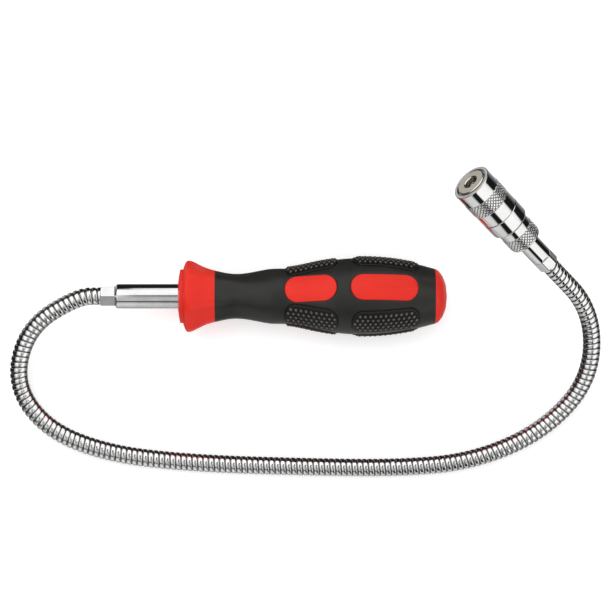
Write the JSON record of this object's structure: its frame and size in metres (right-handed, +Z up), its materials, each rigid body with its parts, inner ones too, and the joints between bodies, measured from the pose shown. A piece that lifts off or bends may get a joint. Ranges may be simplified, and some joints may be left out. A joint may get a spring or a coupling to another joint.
{
  "type": "magnetic pick-up tool",
  "caption": "Posable pick-up tool: moulded screwdriver-style handle, plated shank, wound-wire gooseneck and a knurled magnetic head with a lamp in the magnet.",
  "frame": {"origin": "middle of the bounding box, on the surface that the tool lies on", "axes": "+X along the handle, from the shank towards the handle's tail, which is also the longest side; +Z up from the table, the shortest side"},
  "size_m": [0.2668, 0.1384, 0.0712],
  "materials": {
    "red_core": "moulded, satin gloss",
    "grip_black": "matt moulded",
    "pad_black": "semi-gloss, moulded in dots",
    "shank_plate": "drawn tube, bright plated",
    "neck_winding": "bright plated wire",
    "neck_spring": "bright plated wire",
    "head_plate": "polished and plated, knurled bands",
    "magnet_nickel": "nickel plated, faced",
    "lamp_holder": "matt",
    "lamp_lens": "clear moulded",
    "lead_wire": "tinned",
    "circuit_board": "matt",
    "contact_brass": "bright",
    "cell_steel": "nickel plated",
    "cell_sleeve": "matt",
    "spring_steel": "drawn wire",
    "seal_rubber": "matt"
  },
  "bodies": {
    "handle": {"handle_core": "red_core", "grip_sleeve": "grip_black", "grip_pads_front": "pad_black", "grip_pads_rear": "pad_black", "shank_tube": "shank_plate", "neck_winding_01": "neck_winding", "neck_spring_01": "neck_spring"},
    "neck_section_02": {"neck_winding_02": "neck_winding", "neck_spring_02": "neck_spring"},
    "neck_section_03": {"neck_winding_03": "neck_winding", "neck_spring_03": "neck_spring"},
    "neck_section_04": {"neck_winding_04": "neck_winding", "neck_spring_04": "neck_spring"},
    "neck_section_05": {"neck_winding_05": "neck_winding", "neck_spring_05": "neck_spring"},
    "neck_section_06": {"neck_winding_06": "neck_winding", "neck_spring_06": "neck_spring"},
    "neck_section_07": {"neck_winding_07": "neck_winding", "neck_spring_07": "neck_spring"},
    "neck_section_08": {"neck_winding_08": "neck_winding", "neck_spring_08": "neck_spring"},
    "neck_section_09": {"neck_winding_09": "neck_winding", "neck_spring_09": "neck_spring"},
    "neck_section_10": {"neck_winding_10": "neck_winding", "neck_spring_10": "neck_spring"},
    "neck_section_11": {"neck_winding_11": "neck_winding", "neck_spring_11": "neck_spring"},
    "head": {"neck_winding_12": "neck_winding", "neck_spring_12": "neck_spring", "neck_ferrule": "head_plate", "tail_cap": "head_plate", "battery_barrel": "head_plate", "seal_ring": "seal_rubber", "battery_cell_1": "cell_steel", "battery_cell_2": "cell_steel", "battery_cell_3": "cell_steel", "cell_sleeve": "cell_sleeve", "tail_spring": "spring_steel"},
    "lamp_cap": {"front_cap": "head_plate", "magnet_ring": "magnet_nickel", "lamp_holder": "lamp_holder", "lamp_lens": "lamp_lens", "lamp_leads": "lead_wire", "lamp_board": "circuit_board", "contact_button": "contact_brass"}
  },
  "joints": [
    {"name": "neck_swing_01", "type": "hinge", "parent": "handle", "child": "neck_section_02", "pos_m": [-0.11323, 0.00581, 0.01631], "axis": [0.008, 0.006, 1], "range_deg": [-40, 6]},
    {"name": "neck_swing_02", "type": "hinge", "parent": "neck_section_02", "child": "neck_section_03", "pos_m": [-0.12798, -0.01344, 0.01271], "axis": [0.008, 0.006, 1], "range_deg": [-40, 6]},
    {"name": "neck_swing_03", "type": "hinge", "parent": "neck_section_03", "child": "neck_section_04", "pos_m": [-0.12473, -0.03644, 0.00841], "axis": [0.008, 0.006, 1], "range_deg": [-40, 6]},
    {"name": "neck_lift_04", "type": "hinge", "parent": "neck_section_04", "child": "neck_section_05", "pos_m": [-0.10448, -0.05269, 0.00528], "axis": [-0.3919, -0.92, 0], "range_deg": [0, 30]},
    {"name": "neck_swing_05", "type": "hinge", "parent": "neck_section_05", "child": "neck_section_06", "pos_m": [-0.07273, -0.06069, 0.00408], "axis": [0.008, 0.006, 1], "range_deg": [-40, 6]},
    {"name": "neck_lift_06", "type": "hinge", "parent": "neck_section_06", "child": "neck_section_07", "pos_m": [-0.02948, -0.06384, 0.00401], "axis": [-0.036, -0.9994, 0], "range_deg": [0, 30]},
    {"name": "neck_swing_07", "type": "hinge", "parent": "neck_section_07", "child": "neck_section_08", "pos_m": [0.01952, -0.06509, 0.00401], "axis": [0.008, 0.006, 1], "range_deg": [-40, 20]},
    {"name": "neck_lift_08", "type": "hinge", "parent": "neck_section_08", "child": "neck_section_09", "pos_m": [0.06027, -0.06379, 0.00401], "axis": [0.098, -0.9952, 0], "range_deg": [0, 30]},
    {"name": "neck_swing_09", "type": "hinge", "parent": "neck_section_09", "child": "neck_section_10", "pos_m": [0.09277, -0.05519, 0.00451], "axis": [0.008, 0.006, 1], "range_deg": [-40, 8]},
    {"name": "neck_lift_10", "type": "hinge", "parent": "neck_section_10", "child": "neck_section_11", "pos_m": [0.11902, -0.03634, 0.00726], "axis": [0.7498, -0.6616, 0], "range_deg": [0, 30]},
    {"name": "neck_swing_11", "type": "hinge", "parent": "neck_section_11", "child": "head", "pos_m": [0.12937, -0.00898, 0.01459], "axis": [0.008, 0.006, 1], "range_deg": [-40, 8]},
    {"name": "lamp_twist", "type": "hinge", "parent": "head", "child": "lamp_cap", "pos_m": [0.07244, 0.06247, 0.06351], "axis": [-0.624, 0.6153, 0.4818], "range_deg": [0, 90]}
  ]
}
